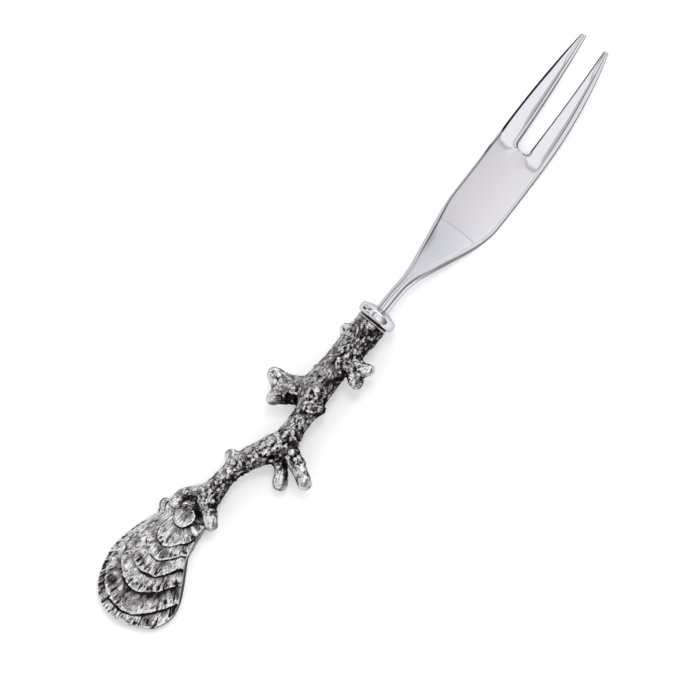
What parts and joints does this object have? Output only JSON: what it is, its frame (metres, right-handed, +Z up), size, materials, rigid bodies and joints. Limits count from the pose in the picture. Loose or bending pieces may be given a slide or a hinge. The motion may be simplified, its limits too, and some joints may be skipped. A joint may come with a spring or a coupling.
{
  "type": "appetizer fork",
  "caption": "Slim appetizer fork with a polished steel head of long tines, a beaded collar and a cast pewter handle shaped as a coral branch that holds an oyster shell.",
  "frame": {"origin": "on the flat back of the oyster shell, directly below the axis of the neck and head", "axes": "+Y along the fork towards the tines, +Z up from the table the fork lies on, +X to the right when the tines point away"},
  "size_m": [0.0303, 0.1653, 0.0121],
  "materials": {
    "stainless_steel": "mirror polished stainless steel",
    "polished_pewter": "polished pewter",
    "antique_pewter": "cast pewter, darkened in the recesses and rubbed bright on the high points",
    "epoxy_cement": "set epoxy",
    "soft_solder": "dull solder"
  },
  "bodies": {
    "root": {"fork_head": "stainless_steel", "collar_ring": "polished_pewter", "tang_cement": "epoxy_cement", "coral_handle": "antique_pewter", "peg_solder": "soft_solder", "oyster_shell": "antique_pewter"}
  },
  "joints": []
}
